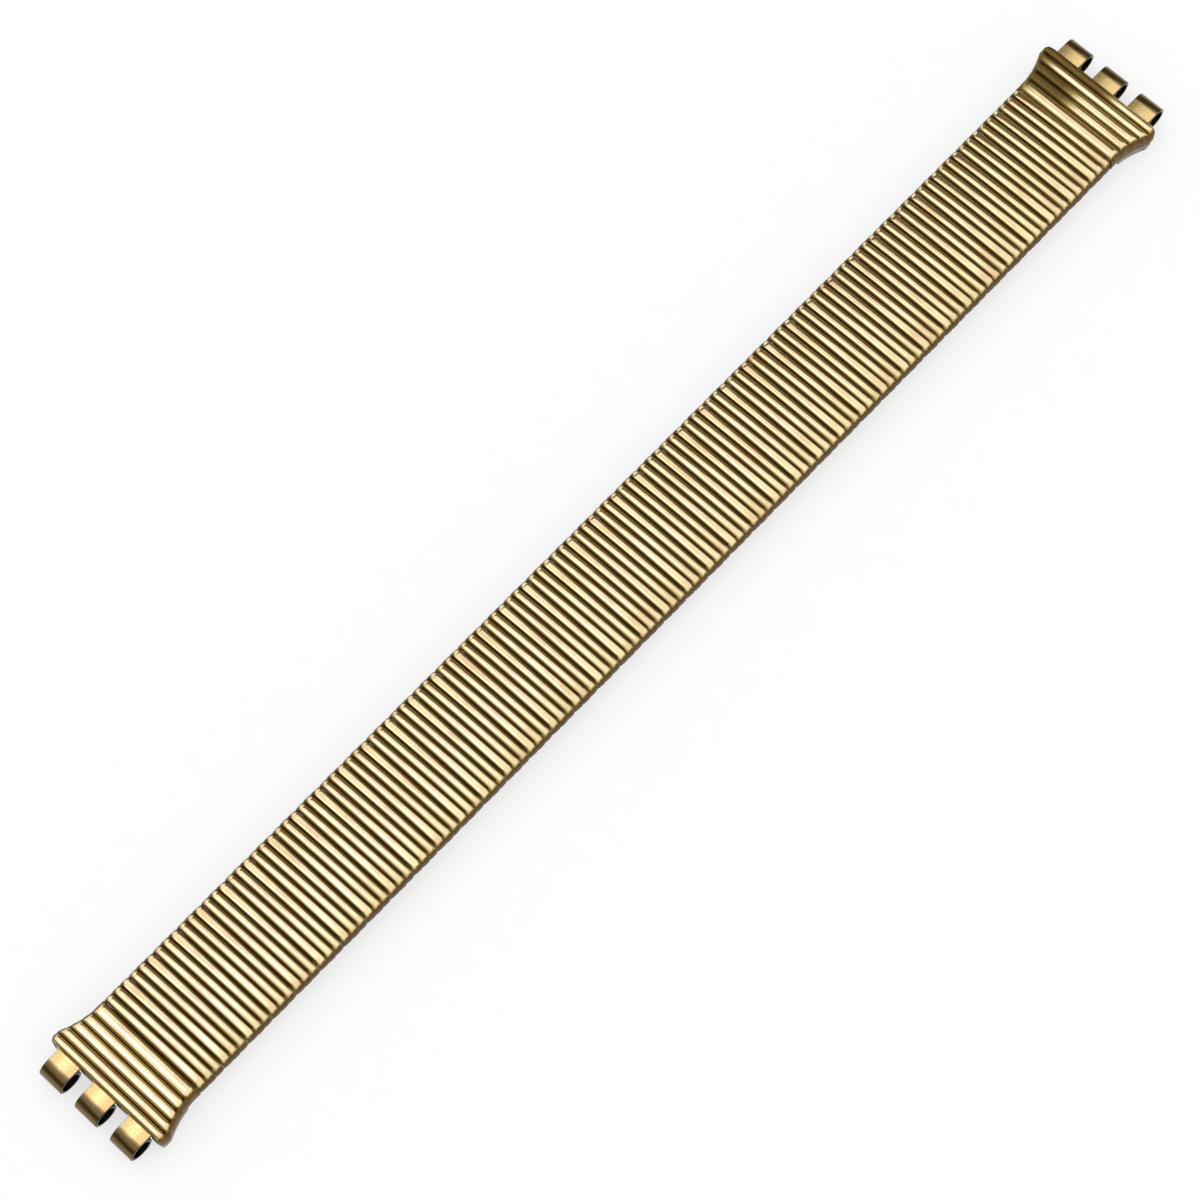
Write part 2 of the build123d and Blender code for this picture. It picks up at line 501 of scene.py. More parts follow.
def finish(
    tree: Tree, colour: Socket, relief: Socket, rough: tuple[float, float],
    bump: tuple[float, float], dirt: Socket | None = None,
) -> None:
    """Feeds a metal's colour, roughness and fine relief to its shader.

    Args:
        tree: The material's nodes.
        colour: The colour.
        relief: The pattern of the relief, which the roughness follows.
        rough: The least and the most roughness.
        bump: The relief's strength and its depth in metres.
        dirt: A mask of tarnish and painted shade over the metal, which also makes it rougher.
    """
    inputs = {"Value": relief, "From Min": 0.3, "From Max": 0.7}
    inputs |= {"To Min": rough[0], "To Max": rough[1]}
    rougher = add_node(tree, "MapRange", inputs)[0]
    if dirt is not None:
        rougher = add_node(tree, "Mix", {0: dirt, 2: rougher, 3: FILM_ROUGHNESS})[0]
    inputs = {"Height": relief, "Strength": bump[0], "Distance": bump[1]}
    normal = add_node(tree, "Bump", inputs)[0]
    shader = tree.nodes["Principled BSDF"]
    for key, socket in (("Base Color", colour), ("Roughness", rougher), ("Normal", normal)):
        tree.links.new(socket, shader.inputs[key])


@dataclass(frozen=True)
class PolishedGoldPlate:
    """Stamped sheet, gold plated and polished.

    Pale yellow and mirror-like, warmer in random patches that also stand in for a warm
    reflection, olive to brown in the grooves, over the ridges' flanks and on the rolled
    edges, which is partly tarnish and partly painted shade and painted dark reflection,
    with hair-fine polishing lines across the band.
    """

    pale: str = "FBECBA"
    warm: str = "F1CDA0"
    olive: str = "AA945A"
    tarnish: str = "5A411C"
    streak: float = 0.07 * MM  # drawn coarser than the real 0.01 mm lines, to show
    streak_length: float = 30.0  # in widths, across the band
    patch: float = 1.6 * MM
    patch_length: float = 1.4
    pit: float = 0.12 * MM
    roughness: float = 0.085
    spread: tuple[float, float] = (0.8, 1.5)  # shares of the roughness, over the lines
    bump: tuple[float, float] = (0.12, 0.01 * MM)

    def material(self, name: str = "polished_gold_plate") -> bpy.types.Material:
        """Builds the finish.

        Args:
            name: The material's name.

        Returns:
            The material.
        """
        made = start_material(name, self.roughness, Metallic=1.0)
        tree = made.node_tree
        patches = grains(tree, (self.patch, self.patch * self.patch_length, self.patch), 3.0)
        lines = grains(tree, (self.streak, self.streak * self.streak_length, self.streak))
        pits = grains(tree, (self.pit,) * 3, 3.0)
        # warmer in random patches: a random tone that also stands in for a warm reflection, a
        # painted reflection
        plate = tint(tree, self.pale, self.warm, patches, (0.40, 0.66), 0.85)
        # some spots get less of the tarnish and painted shade than others
        inputs = {"Value": pits, "From Min": 0.25, "From Max": 0.6, "To Min": 0.8}
        uneven = add_node(tree, "MapRange", inputs)[0]
        wear = add_node(tree, "Attribute", attribute_name=SHADE_ATTRIBUTE)["Fac"]
        dirt = add_node(tree, "Math", {0: wear, 1: uneven}, operation="MULTIPLY", use_clamp=True)[0]
        # olive, then brown over the mask: tarnish, together with painted shade and painted dark
        # reflection on the flanks and edges
        olive_darkened = tint(tree, plate, self.olive, dirt, (0.0, 0.5))
        colour = tint(tree, olive_darkened, self.tarnish, dirt, (0.45, 1.0))
        rough = tuple(self.roughness * share for share in self.spread)
        finish(tree, colour, lines, rough, self.bump, dirt)
        return made


@dataclass(frozen=True)
class WornBrassSheet:
    """Rolled brass sheet, flash gilded and worn matt by the watch case.

    A flat tan gold, speckled with fine dark grains, with painted shade: brown at the far
    tips as a painted dark reflection and under the bores, and almost black on the lugs'
    sides and in their bores.
    """

    tan: str = "FFDE9E"
    grain: str = "C99A55"
    # painted dark reflection on the rolled tips, and painted shade on the lugs' sides and in their
    # bores
    tip: str = "59492C"
    hollow: str = "1C1710"
    speck: float = 0.09 * MM
    cloud: float = 1.1 * MM
    roughness: float = 0.22
    spread: tuple[float, float] = (0.8, 1.3)
    bump: tuple[float, float] = (0.5, 0.02 * MM)

    def material(self, name: str = "worn_brass_sheet") -> bpy.types.Material:
        """Builds the finish.

        Args:
            name: The material's name.

        Returns:
            The material.
        """
        made = start_material(name, self.roughness, Metallic=1.0)
        tree = made.node_tree
        specks = grains(tree, (self.speck,) * 3, 4.0)
        clouds = grains(tree, (self.cloud,) * 3)
        sheet = tint(tree, self.tan, self.grain, specks, (0.5, 0.68), 0.8)
        worn = add_node(tree, "Attribute", attribute_name=SHADE_ATTRIBUTE)["Fac"]
        dark_tipped = tint(tree, sheet, self.tip, worn, (0.0, 0.6))
        inputs = {"Value": clouds, "From Min": 0.2, "From Max": 0.5, "To Min": 0.9}
        uneven = add_node(tree, "MapRange", inputs)[0]
        dirt = add_node(tree, "Math", {0: worn, 1: uneven}, operation="MULTIPLY", use_clamp=True)[0]
        colour = tint(tree, dark_tipped, self.hollow, dirt, (0.65, 0.9))
        rough = tuple(self.roughness * share for share in self.spread)
        finish(tree, colour, specks, rough, self.bump)
        return made


@dataclass(frozen=True)
class SatinSteel:
    """Stainless strip, satin from the rolling mill.

    Neutral grey with soft streaks along the rolling direction, darker in patches
    where skin oil has dried.
    """

    light: str = "C9C6BF"
    dark: str = "8F8A80"
    streak: tuple[float, float, float] = (0.06 * MM, 1.8 * MM, 0.06 * MM)
    roughness: float = 0.32
    cloud: float = 1.3 * MM
    spread: tuple[float, float] = (0.8, 1.35)
    bump: tuple[float, float] = (0.25, 0.008 * MM)

    def material(self, name: str) -> bpy.types.Material:
        """Builds the finish.

        Args:
            name: The material's name.

        Returns:
            The material.
        """
        made = start_material(name, self.roughness, Metallic=1.0)
        tree = made.node_tree
        lines = grains(tree, self.streak, 3.0)
        clouds = grains(tree, (self.cloud,) * 3, 3.0)
        brushed = tint(tree, self.light, self.dark, lines, (0.3, 0.7), 0.6)
        colour = tint(tree, brushed, self.dark, clouds, (0.5, 0.75), 0.5)
        rough = tuple(self.roughness * share for share in self.spread)
        finish(tree, colour, lines, rough, self.bump)
        return made


# ---------------------------------------------------------------- sub-assemblies


@dataclass(frozen=True)
class EdgeShade:
    """Where a shell's painted highlights end and its painted shade begins at one edge, measured
    outwards from the flange.
    """

    tip: float  # where a ridge's painted highlight has narrowed to nothing
    rim: float  # where the rim's painted shade begins
    reach: float  # over what length it reaches full depth


@dataclass
class RidgedShell:
    """Gold cap over an upper sleeve: three ridges, a low crown, rolled edges and crimp tabs."""

    sizes: BandSizes
    wall: float = 0.12 * MM
    skin: float = 0.11 * MM
    corner_r: float = 0.3 * MM
    crown: float = 0.12 * MM
    overhang: float = 0.18 * MM  # the side walls stand out to the solids' width
    reach_out: float = 0.045 * MM  # the ends come close to their neighbours
    columns: int = 42
    wall_steps: int = 4
    corner_steps: int = 7
    crown_steps: int = 9
    crown_runs: tuple[float, ...] = (0.13, 0.74, 0.13)  # finer faces towards the edges
    ridges: int = 3
    arch: float = 0.048 * MM
    ridge_height: float = 0.232 * MM
    side_height: float = 0.05 * MM  # what is left of a ridge on the side walls
    ridge_round: float = 0.7
    ridge_square: int = 7
    middle_flat: float = 0.3
    finger_past: float = 0.09 * MM  # how far the ridges run past the flange
    finger_reach: float = 0.42 * MM
    crest_shift: float = 0.1 * MM  # a crest's twist towards the shell's ends
    tab: Vector = field(default_factory=lambda: Vector((0.6, 0.6, 0.12)) * MM)
    tab_top_z: float = 2.08 * MM
    tab_bevel: float = 0.03 * MM
    # shares of a ridge's half width that stay bright as a painted highlight, and where the tarnish
    # and painted shade are full
    clean_inner: float = 0.37
    clean_end: float = 0.29
    clean_flat: float = 0.28
    clean_far: float = 0.1
    dark_share: float = 0.95
    rim_dark: float = 1.15
    near_wear: EdgeShade = EdgeShade(0.17 * MM, 0.0, 0.14 * MM)
    far_wear: EdgeShade = EdgeShade(0.1 * MM, -0.02 * MM, 0.08 * MM)

    def ridge_share(self, x: float) -> float:
        """Place across its ridge, from 0 to 1, of a place along the shell."""
        place = (x / self.sizes.sleeve_length + 0.5) * self.ridges
        return clamp(place - math.floor(min(place, self.ridges - 1e-6)))

    def sheet(self) -> Piece:
        """Spins the plain sheet up one edge, over the crown and down the other edge.

        Returns:
            The sheet without its ridges.
        """
        s = self.sizes
        half = s.sleeve_length / 2
        base_y = s.flange_y + self.wall
        corner_y = s.flange_y - self.corner_r
        crown_r = (s.flange_y**2 + self.crown**2) / (2 * self.crown)
        corner_z = s.cover_under_z - self.corner_r * math.cos(math.asin(corner_y / crown_r))
        crown_z = corner_z - math.sqrt((crown_r - self.corner_r) ** 2 - corner_y**2)
        lean = math.degrees(math.atan2(corner_y, corner_z - crown_z))
        low = Vector((-half, -base_y, s.flange_z))
        high = Vector((half, -base_y + 1 * MM, s.flange_z))
        piece = add_between("ridged_shell", low, high, (self.columns, 1))
        up = Vector((0, 0, (corner_z - s.flange_z) / self.wall_steps))
        with editing(piece):
            pick(piece, Part.EDGES, lambda p: not near(p.y, -base_y))
            bpy.ops.mesh.delete(type="VERT")
            bpy.ops.mesh.select_all(action="SELECT")
            for _ in range(self.wall_steps):
                extrude(up)
            spin(self.corner_steps, 90 - lean, Vector((0, -corner_y, corner_z)), X_AXIS)
            for run in self.crown_runs:
                spin(self.crown_steps, 2 * lean * run, Vector((0, 0, crown_z)), X_AXIS)
            spin(self.corner_steps, 90 - lean, Vector((0, corner_y, corner_z)), X_AXIS)
            for _ in range(self.wall_steps):
                extrude(-up)
        settle(piece, Vector((0, 0, s.flange_z)))
        return piece

    def flatness(self, p: Vector) -> float:
        """How flat a ridge is: the first towards the near edge, the last towards the far one.

        Args:
            p: A point of the shell.

        Returns:
            The share of the flat section, from 0 to 1.
        """
        place = (p.x / self.sizes.sleeve_length + 0.5) * self.ridges
        number = max(0, min(self.ridges - 1, int(place)))
        far = 0.5 + 0.5 * clamp(p.y / self.sizes.flange_y, -1.0)
        return (1 - far, self.middle_flat, far)[number]

    def lift(self, p: Vector) -> float:
        """Height of the ridges over the plain sheet, with their ends at both edges.

        Args:
            p: A point of the sheet.

        Returns:
            The height.
        """
        s = self.sizes
        arch = self.arch * (1 - (p.x / (s.sleeve_length / 2)) ** 2)
        share = self.ridge_share(p.x)
        across = ridge_section(share, self.flatness(p), self.ridge_round, self.ridge_square)
        tip_y = s.flange_y + self.finger_past
        past = (abs(p.y) - (tip_y - self.finger_reach)) / self.finger_reach
        x, left = off_crest(share), 1 - min(past, 1.0) ** 2
        if past <= 0:
            finger = 1.0
        elif p.y > 0:
            # at the far edge a ridge runs on over the corner and fades
            finger = left
        else:
            # at the near edge a ridge ends like a finger, in a half circle
            outline = math.sqrt(max(0.0, left))
            crest = max(0.0, 1 - (x / max(outline, TINY)) ** 2) / max(TINY, 1 - x**2)
            finger = min(1.0, crest * outline) if outline > x else 0.0
        return arch + max(self.ridge_height * across * finger, self.side_height * across)

    def groove(self, p: Vector) -> float:
        """Mask of tarnish and painted shade: tarnish and painted dark reflection in the grooves
        between ridges, over their flanks and at the shell's ends, and painted shade on its rolled
        edges.

        Args:
            p: A point of the shell.

        Returns:
            The darkening; the shader takes what is over 1 as 1.
        """
        s = self.sizes
        at_end = abs(p.x) > s.sleeve_length / 3
        width = self.clean_end if at_end else self.clean_inner
        # the painted highlight is narrower towards the near edge and wider towards the far one
        width = width + self.clean_flat * self.flatness(p) + self.clean_far * p.y / s.flange_y
        # the way out from the middle goes on down the side wall
        out = abs(p.y) + max(0.0, s.cover_under_z - self.corner_r - p.z)
        wear = self.near_wear if p.y < 0 else self.far_wear
        unshaded = width * tip_outline(-out if p.y < 0 else out, s.flange_y + wear.tip)
        x = off_crest(self.ridge_share(p.x))
        groove = clamp((x - unshaded) / (self.dark_share - width))
        # painted shade over the rolled edges and down the side walls
        return max(groove, self.rim_dark * clamp((out - s.flange_y - wear.rim) / wear.reach))

    def build(self) -> Piece:
        """Models one shell at the middle of the band.

        Returns:
            The finished shell.
        """
        s = self.sizes
        piece = self.sheet()
        raise_by(piece, self.lift, "NORMAL")
        for point in piece.data.vertices:
            bend = 1 - (2 * self.ridge_share(point.co.x) - 1) ** 2
            point.co.x -= self.crest_shift * bend * clamp(point.co.y / s.flange_y, -1.0)
        mark(piece, self.groove)
        for point in piece.data.vertices:
            point.co.y *= 1 + self.overhang / (s.flange_y + self.wall)
            point.co.x *= 1 + self.reach_out / (s.sleeve_length / 2)
        apply(piece, "SOLIDIFY", thickness=self.skin, offset=-1.0, use_even_offset=False)
        tabs = []
        for side in (-1, 1):
            edge_y = s.flange_y + self.wall * 0.5
            y = sorted((side * (edge_y - self.tab.y), side * (edge_y + self.overhang)))
            low = Vector((-self.tab.x / 2, y[0], self.tab_top_z - self.tab.z))
            tab = add_between("crimp_tab", low, Vector((self.tab.x / 2, y[1], self.tab_top_z)))
            apply(tab, "BEVEL", width=self.tab_bevel, segments=2)
            tabs.append(tab)
        piece = join(piece, *tabs)
        smooth(piece, 50)
        return piece


@dataclass
class FlatSleeve:
    """Tube folded flat from steel strip, open at both ends, its seam underneath."""

    sizes: BandSizes
    bend_r: float = 0.22 * MM
    seam: float = 0.06 * MM

    def build(self) -> Piece:
        """Models one lower sleeve at the middle of the band.

        Returns:
            The finished sleeve.
        """
        s = self.sizes
        half = Vector((s.sleeve_length / 2, s.sleeve_width / 2, 0))
        top = Vector((0, 0, s.sleeve_height))
        piece = add_between("flat_sleeve", -half, half + top)
        with editing(piece):
            for side in (1, -1):
                cut_faces(piece, lambda p: near(p.y, side * half.y))
            for x in (-self.seam / 2, self.seam / 2):
                pick(piece, Part.FACES, lambda p: near(p.z, 0))
                bpy.ops.mesh.bisect(plane_co=(x, 0, 0), plane_no=(1, 0, 0))
            cut_faces(piece, lambda p: near(p.z, 0) and abs(p.x) < self.seam)
            pick(
                piece, Part.EDGES, lambda p: near(abs(p.x), half.x),
                lambda edge: edge.calc_length() > s.sleeve_width / 2,
            )
            bpy.ops.mesh.bevel(offset=self.bend_r, segments=4, affect="EDGES")
        settle(piece, top / 2)
        apply(piece, "SOLIDIFY", thickness=s.sleeve_wall, offset=-1.0)
        smooth(piece)
        return piece


@dataclass
class LeafSpring:
    """Bowed strip that presses on the staple legs inside a sleeve."""

    length: float = 8.5 * MM
    width: float = 1.9 * MM
    thickness: float = 0.1 * MM
    rise: float = 0.28 * MM
    steps: int = 14

    def build(self) -> Piece:
        """Models one leaf spring with its middle on the ground.

        Returns:
            The finished spring.
        """
        half = Vector((self.width / 2, self.length / 2, 0))
        piece = add_between("leaf_spring", -half, half, (1, self.steps))
        raise_by(piece, lambda p: self.rise * (p.y / (self.length / 2)) ** 2)
        apply(piece, "SOLIDIFY", thickness=self.thickness, offset=1.0)
        smooth(piece)
        return piece


@dataclass
class WireStaple:
    """U of round wire: one leg in each row, its bar at the band's edge."""

    sizes: BandSizes
    wire_r: float = 0.18 * MM
    leg: float = 2.4 * MM
    bend_r: float = 0.25 * MM
    sides: int = 10
    bend_steps: int = 5

    def build(self, side: int) -> Piece:
        """Models one staple at the middle of the band.

        Args:
            side: Sign of the edge that it stands at.

        Returns:
            The finished staple.
        """
        s = self.sizes
        only()
        bpy.ops.mesh.primitive_circle_add(
            vertices=self.sides, radius=self.wire_r, fill_type="NGON",
            rotation=(math.pi / 2, 0, 0), location=(0, side * (s.bar_y - self.leg), s.leg_low_z),
        )
        piece = bpy.context.object
        piece.name = piece.data.name = "wire_staple"
        bpy.ops.object.transform_apply(location=True, rotation=True, scale=True)
        run = Vector((0, side * (self.leg - self.bend_r), 0))
        rise = Vector((0, 0, s.leg_high_z - s.leg_low_z - 2 * self.bend_r))
        bend_y = side * s.bar_y - side * self.bend_r
        low = Vector((0, bend_y, s.leg_low_z + self.bend_r))
        high = Vector((0, bend_y, s.leg_high_z - self.bend_r))
        with editing(piece, Part.FACES):
            extrude(run)
            spin(self.bend_steps, -90 * side, low, X_AXIS)
            extrude(rise)
            spin(self.bend_steps, -90 * side, high, X_AXIS)
            extrude(-run)
        settle(piece)
        smooth(piece, 50)
        return piece


@dataclass
class EndPlan:
    """Plan of an end piece: it flares from the band's width to the case's width."""

    sizes: BandSizes
    length: float = 4.9 * MM
    width: float = 12.0 * MM
    waist: float = 0.22 * MM
    waist_share: float = 0.6
    tip: float = 1.0 * MM
    corner_r: float = 0.5 * MM

    def half_width(self, x: float, inset: float = 0.0) -> float:
        """Half the width at a place along the band.

        Args:
            x: The place.
            inset: How far the outline is set in.

        Returns:
            The half width.
        """
        s = self.sizes
        t = clamp((x - s.end_x) / (self.length - self.tip))
        low, high = s.band_width / 2, self.width / 2
        mid_t, mid_y = self.waist_share, low + self.waist
        bow = (mid_y - low - (high - low) * mid_t) / (mid_t * (mid_t - 1))
        y = low + (high - low) * t + bow * t * (t - 1) if t < 1 else high
        y -= inset
        corner_r = self.corner_r - inset
        into = x - (s.front_x - inset - corner_r)
        if into > 0:
            y -= corner_r - math.sqrt(max(0.0, corner_r**2 - min(into, corner_r) ** 2))
        return y

    def slab(
        self, name: str, xs: list[float], shares: list[float], z: float, inset: float = 0.0
    ) -> Piece:
        """A level grid that fills the plan.

        Args:
            name: The piece's name.
            xs: Places of its columns along the band.
            shares: Places of its rows, from -1 to 1 of the half width.
            z: Its height.
            inset: How far the outline is set in.

        Returns:
            The grid.
        """
        faces = len(xs) - 1, len(shares) - 1
        piece = add_between(name, Vector((0, 0, z)), Vector((*faces, z)), faces)
        for point in piece.data.vertices:
            x = xs[round(point.co.x)]
            y = shares[round(point.co.y)] * self.half_width(x, inset)
            point.co = Vector((x, y, z))
        return piece


@dataclass
class EndCover:
    """Flared gold cover with five broad ridges, rounded edges and slots for the lugs."""

    plan: EndPlan
    ridge_shares: tuple[float, ...] = (0.255, 0.195, 0.19, 0.185, 0.175)
    flat: tuple[float, ...] = (0.6, 0.9, 0.9, 0.35, 0.6)
    dull_from: tuple[float, ...] = (0.7, 0.0, 0.05, 0.6, -0.4)  # where each ridge's painted dark reflection starts, in shares of the half width
    skin: float = 0.14 * MM
    groove_lift: float = 0.12 * MM
    foot_lift: float = 0.02 * MM  # how far over the foot of the rounding the slab lies
    reach_in: float = 0.04 * MM  # the inner end comes close to the last shell
    ridge_height: float = 0.29 * MM
    ridge_round: float = 0.55
    ridge_square: int = 5
    finger_reach: float = 0.75 * MM
    edge_r: float = 0.42 * MM
    columns: int = 12  # for each ridge
    front_run: float = 0.5 * MM
    front_steps: int = 10
    inner_rows: tuple[float, ...] = tuple(k / 12 for k in range(-10, 11))
    edge_rows: tuple[float, ...] = (
        0.86, 0.885, 0.908, 0.928, 0.944, 0.957, 0.968, 0.978, 0.986, 0.993, 0.998, 1.0,
    )
    slot_width: float = 2.4 * MM
    slot_reach: float = 0.6 * MM  # from the front inwards
    slot_slack: float = 0.4 * MM
    finger_powers: tuple[float, float] = (2.6, 2.4)  # a little squarer than an ellipse
    rim_wear: float = 0.36 * MM
    rim_dark: float = 0.97
    wear_reach: float = 0.14 * MM
    front_clean: float = 0.16 * MM  # the front's rim has painted shade over less than the sides'
    dull: float = 0.9
    dull_reach: float = 0.35

    def ridge_at(self, x: float) -> tuple[int, float, bool]:
        """Which ridge a place along the band is on.

        Args:
            x: The place.

        Returns:
            The ridge's number, how far across it the place is, from 0 to 1, and whether
            it is past the last ridge's crest, where no groove follows.
        """
        along = (x - self.plan.sizes.end_x) / self.plan.length
        start, last = 0.0, len(self.ridge_shares) - 1
        for index, share in enumerate(self.ridge_shares):
            if along <= start + share + 1e-9 or index == last:
                break
            start += share
        across = clamp((along - start) / share)
        return index, across, index == last and across > 0.5

    def height(self, p: Vector) -> float:
        """Height of the outer surface over the slab that it is raised from.

        Args:
            p: A point of the slab.

        Returns:
            The height.
        """
        index, share, past_crest = self.ridge_at(p.x)
        across = ridge_section(share, self.flat[index], self.ridge_round, self.ridge_square)
        side = max(0.0, self.plan.half_width(p.x) - abs(p.y))
        front = max(0.0, self.plan.sizes.front_x - p.x)
        past, x, finger = max(0.0, 1 - side / self.finger_reach), off_crest(share), 1.0
        if past > 0:
            # a ridge's outline closes before the edge
            across_part, along_part = x ** self.finger_powers[0], past ** self.finger_powers[1]
            finger = max(0.0, 1 - (across_part + along_part)) / max(TINY, 1 - across_part)
        ridge = self.ridge_height * (1.0 if past_crest else across)
        top = self.groove_lift + ridge * min(1.0, finger) ** 0.5
        fall = 0.0
        for distance in (side, front):
            if distance < self.edge_r:
                round_off = math.sqrt(self.edge_r**2 - (self.edge_r - distance) ** 2)
                fall = max(fall, self.edge_r - round_off)
        return max(0.002 * MM, top - fall + (self.edge_r - self.groove_lift - self.foot_lift))

    def build(self) -> Piece:
        """Models the right cover in place.

        Returns:
            The finished cover.
        """
        s = self.plan.sizes
        xs: list[float] = []
        start = s.end_x
        for share in self.ridge_shares:
            width = share * self.plan.length
            xs += [start + width * k / self.columns for k in range(self.columns)]
            start += width
        turns = [k * math.pi / (2 * self.front_steps) for k in range(self.front_steps)]
        xs = [x for x in xs if x < s.front_x - self.front_run]
        xs += [s.front_x - self.front_run * math.cos(turn) for turn in turns] + [s.front_x]
        shares = [-row for row in reversed(self.edge_rows)] + [*self.inner_rows, *self.edge_rows]
        floor_z = s.cover_under_z - self.edge_r + self.groove_lift + self.foot_lift
        piece = self.plan.slab("end_cover", xs, shares, floor_z)
        raise_by(piece, self.height)
        with editing(piece):
            pick(
                piece, Part.EDGES, anywhere,
                lambda edge: is_rim(edge) and not all(near(v.co.x, s.end_x) for v in edge.verts),
            )
            extrude(Vector((0, 0, -self.edge_r)))
            bpy.ops.transform.resize(value=(1, 1, 0), center_override=(0, 0, s.flange_z))
        settle(piece, Vector(((s.end_x + s.front_x) / 2, 0, s.flange_z)))
        mark(piece, self.groove)
        for point in piece.data.vertices:
            if near(point.co.x, s.end_x):
                point.co.x -= self.reach_in
        apply(piece, "SOLIDIFY", thickness=self.skin, offset=-1.0, use_even_offset=False)
        for y in s.lug_y:
            low_y, high_y = y - self.slot_width / 2, y + self.slot_width / 2
            low = Vector((s.front_x - self.slot_reach, low_y, s.flange_z - self.slot_slack))
            high = Vector((s.front_x + self.slot_slack, high_y, s.cover_under_z))
            slot = add_between("slot_tool", low, high)
            apply(piece, "BOOLEAN", object=slot, operation="DIFFERENCE", solver="EXACT")
            bpy.data.objects.remove(slot)
        smooth(piece, 40)
        return piece

    def groove(self, p: Vector) -> float:
        """Mask of tarnish and painted shade: tarnish and painted dark reflection in the thin
        grooves, painted shade on the rounded rim and the walls.

        Args:
            p: A point of the cover.

        Returns:
            The tarnish, from 0 to 1.
        """
        index, share, past_crest = self.ridge_at(p.x)
        # the share of a ridge that stays bright, a painted highlight
        bright = 0.5 + 0.25 * self.flat[index]
        half = self.plan.half_width(p.x)
        unshaded = bright * tip_outline(p.y, half - self.wear_reach)
        line = 0.0 if past_crest else max(0.0, (off_crest(share) - unshaded) / (1 - bright))
        edge = min(half - abs(p.y), self.plan.sizes.front_x - p.x + self.front_clean)
        rim = self.rim_dark * clamp((self.rim_wear - edge) / self.wear_reach)
        return min(1.0, max(line, rim))

    def dulled(self, p: Vector) -> float:
        """Mask of the right cover: the mask of tarnish and painted shade, with each ridge brown
        towards the far edge as a painted dark reflection.
        """
        past = p.y / self.plan.half_width(p.x) - self.dull_from[self.ridge_at(p.x)[0]]
        return max(self.groove(p), self.dull * clamp(past / self.dull_reach))


@dataclass
class EndTray:
    """Open steel tray under an end cover."""

    plan: EndPlan
    inset: float = 0.15 * MM
    wall: float = 0.2 * MM
    start_x: float = 54.65 * MM
    edge_r: float = 0.12 * MM
    columns: int = 12
    front_steps: int = 6
    rows: tuple[float, ...] = tuple(k / 4 for k in range(-4, 5))

    def build(self) -> Piece:
        """Models the right tray in place.

        Returns:
            The finished tray.
        """
        s = self.plan.sizes
        front = s.front_x - self.inset
        r = self.plan.corner_r - self.inset
        run = front - r - self.start_x
        xs = [self.start_x + run * k / self.columns for k in range(self.columns)]
        turns = [k * math.pi / (2 * self.front_steps) for k in range(self.front_steps)]
        xs += [front - r * math.cos(turn) for turn in turns] + [front]
        piece = self.plan.slab("end_tray", xs, self.rows, 0.0, self.inset)
        with editing(piece):
            pick(piece, Part.EDGES, anywhere, is_rim)
            extrude(Vector((0, 0, s.sleeve_height)))
        settle(piece, Vector(((self.start_x + front) / 2, 0, s.sleeve_height)))
        with editing(piece):
            pick(piece, Part.EDGES, lambda p: near(p.z, 0), is_fold)
            bpy.ops.mesh.bevel(offset=self.edge_r, segments=3, affect="EDGES")
        # the bevel and the wall each leave points a hair under the ground
        raise_by(piece, lambda p: max(0.0, -p.z))
        apply(piece, "SOLIDIFY", thickness=self.wall, offset=-1.0)
        raise_by(piece, lambda p: max(0.0, -p.z))
        smooth(piece, 40)
        return piece


